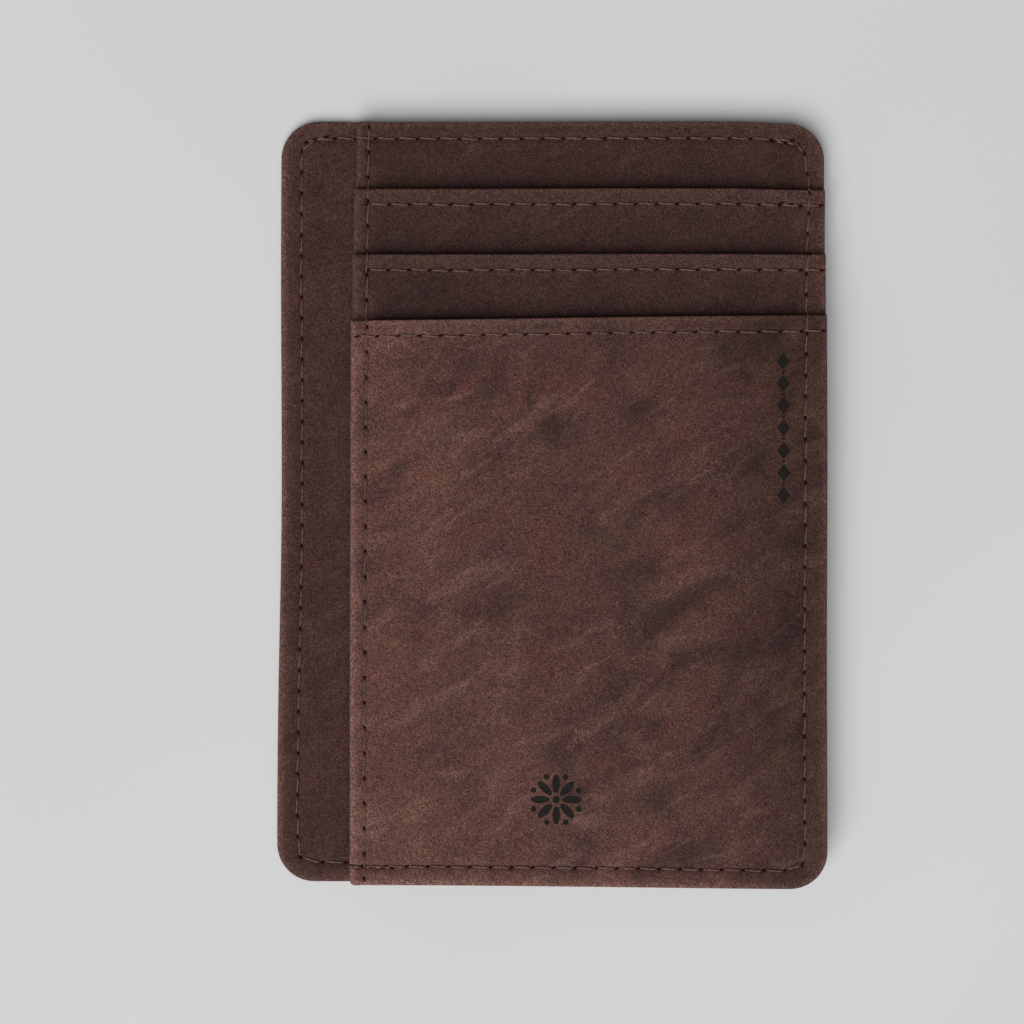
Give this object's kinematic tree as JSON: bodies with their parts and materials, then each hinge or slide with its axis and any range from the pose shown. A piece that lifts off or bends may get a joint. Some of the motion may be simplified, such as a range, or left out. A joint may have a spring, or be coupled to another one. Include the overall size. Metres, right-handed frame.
{
  "type": "minimalist wallet",
  "caption": "Slim upright leather card wallet with stepped card slots on the front and a cash pocket open along one long side.",
  "frame": {"origin": "middle of the back face, which the wallet lies on", "axes": "+Y towards the wallet's top edge, which the card slots' mouths face, +X towards the sewn long edge, away from the cash pocket's mouth, +Z out of the front"},
  "size_m": [0.08, 0.112, 0.007],
  "materials": {
    "leather": "matte waxed pull-up leather, dark reddish brown with lighter and darker patches and a fine grain",
    "lining": "dark brown woven polyester",
    "shield": "thin shielding foil, slightly crumpled, sealed inside",
    "thread": "waxed reddish brown polyester thread"
  },
  "bodies": {
    "root": {"back_panel": "leather", "back_shield": "shield", "inner_panel": "leather", "cash_pocket_margin": "leather", "front_lining": "lining", "front_shield": "shield", "base_panel": "leather", "slot_1_margin": "leather", "slot_1_floor": "leather", "slot_1_panel": "leather", "slot_2_margin": "leather", "slot_2_floor": "leather", "slot_2_panel": "leather", "front_margin": "leather", "front_panel": "leather", "perimeter_needle_thread": "thread", "perimeter_bobbin_thread": "thread", "mouth_needle_thread": "thread", "mouth_bobbin_thread": "thread", "slot_1_hem_thread": "thread", "slot_2_hem_thread": "thread", "front_hem_thread": "thread", "slot_1_floor_thread": "thread", "slot_2_floor_thread": "thread"}
  },
  "joints": []
}
